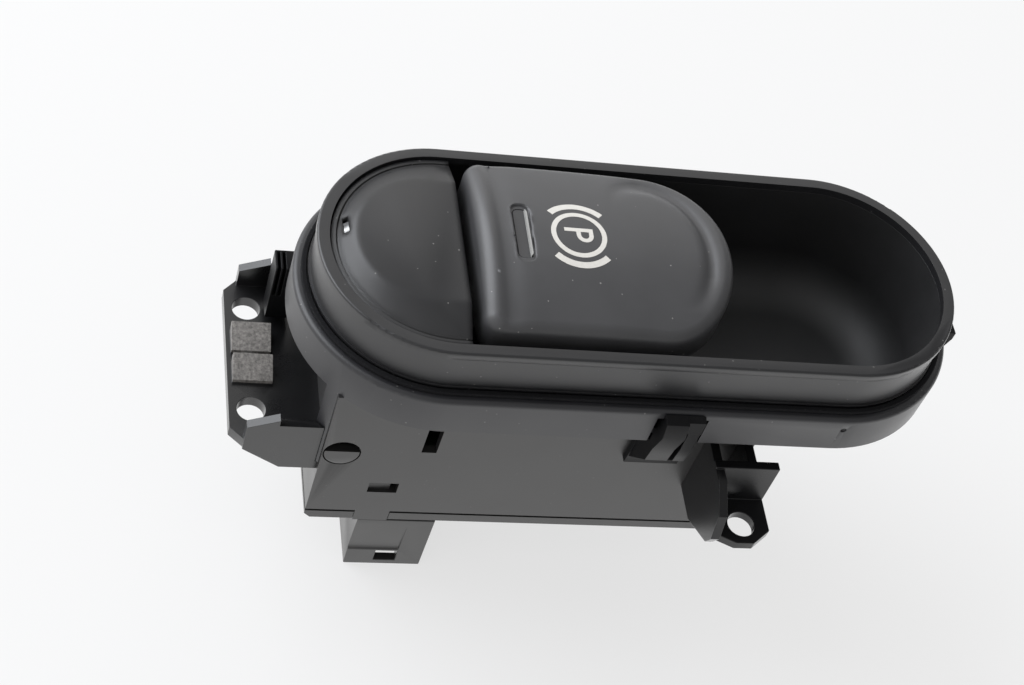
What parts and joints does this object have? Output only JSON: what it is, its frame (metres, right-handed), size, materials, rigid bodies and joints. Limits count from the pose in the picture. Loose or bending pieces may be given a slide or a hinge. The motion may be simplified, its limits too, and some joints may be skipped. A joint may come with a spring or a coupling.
{
  "type": "parking brake switch",
  "caption": "Stadium-shaped console switch with a rocking paddle over a finger pocket, a fixed cap, a housing box with mounting ears and a downward socket.",
  "frame": {"origin": "centre of the console cut-out, on the plane of the seal's top face, where the console rests", "axes": "+X along the switch from the fixed cap to the finger pocket, +Y across it, away from the connector's side, +Z out of the console towards the hand"},
  "size_m": [0.1276, 0.0692, 0.0731],
  "materials": {
    "rim": "satin",
    "frame": "fine grain",
    "foam": "closed-cell foam",
    "cap": "satin",
    "bowl": "satin",
    "box": "fine grain",
    "dark_plastic": "satin",
    "white_plastic": "satin",
    "paddle": "soft satin",
    "lens": "smoked",
    "clear": "clear",
    "board": "dark solder mask",
    "component": "moulded",
    "contact_metal": "plated",
    "steel": "zinc plated",
    "rubber": "matte"
  },
  "bodies": {
    "housing": {"bezel_ring": "rim", "carrier_frame": "frame", "seal_strip": "foam", "blank_cap": "cap", "locator_lens": "clear", "finger_bowl": "bowl", "housing_shell": "box", "bottom_cover": "box", "connector_shroud": "dark_plastic", "pin_header": "dark_plastic", "connector_pins": "contact_metal", "circuit_board": "board", "board_components": "component", "signal_led": "clear", "light_guide": "clear", "switch_base": "white_plastic", "pivot_pin": "steel", "stop_pads": "rubber", "end_bracket": "box", "front_bracket": "box", "rear_bracket": "box", "front_clip": "frame", "rear_clip": "frame", "left_clip": "frame", "right_clip": "frame", "base_screws": "steel", "cover_screws": "steel", "board_screws": "steel", "left_spring": "steel", "right_spring": "steel"},
    "paddle": {"paddle_shell": "paddle", "paddle_lever": "dark_plastic", "light_diffuser": "white_plastic", "indicator_lens": "lens", "paddle_screws": "steel"},
    "slider": {"contact_slider": "white_plastic", "contact_wipers": "contact_metal"},
    "left_tappet_body": {"left_tappet": "white_plastic"},
    "right_tappet_body": {"right_tappet": "white_plastic"}
  },
  "joints": [
    {"name": "paddle_hinge", "type": "hinge", "parent": "housing", "child": "paddle", "pos_m": [-0.024, 0, 0.0015], "axis": [0, -1, 0], "range_deg": [-4, 8], "stiffness_Nm_per_rad": 0.6},
    {"name": "slider_slide", "type": "slide", "parent": "housing", "child": "slider", "axis": [1, 0, 0], "range_m": [-0.0019, 0.0038]},
    {"name": "left_tappet_slide", "type": "slide", "parent": "housing", "child": "left_tappet_body", "axis": [0, 0, 1], "range_m": [-0.0018, 0.0009], "deforming": ["left_spring"]},
    {"name": "right_tappet_slide", "type": "slide", "parent": "housing", "child": "right_tappet_body", "axis": [0, 0, 1], "range_m": [-0.0009, 0.0018], "deforming": ["right_spring"]}
  ],
  "couplings": [
    {"joint": "slider_slide", "follows": "paddle_hinge", "m_per_rad": 0.0265},
    {"joint": "left_tappet_slide", "follows": "paddle_hinge", "m_per_rad": -0.012},
    {"joint": "right_tappet_slide", "follows": "paddle_hinge", "m_per_rad": 0.012}
  ]
}
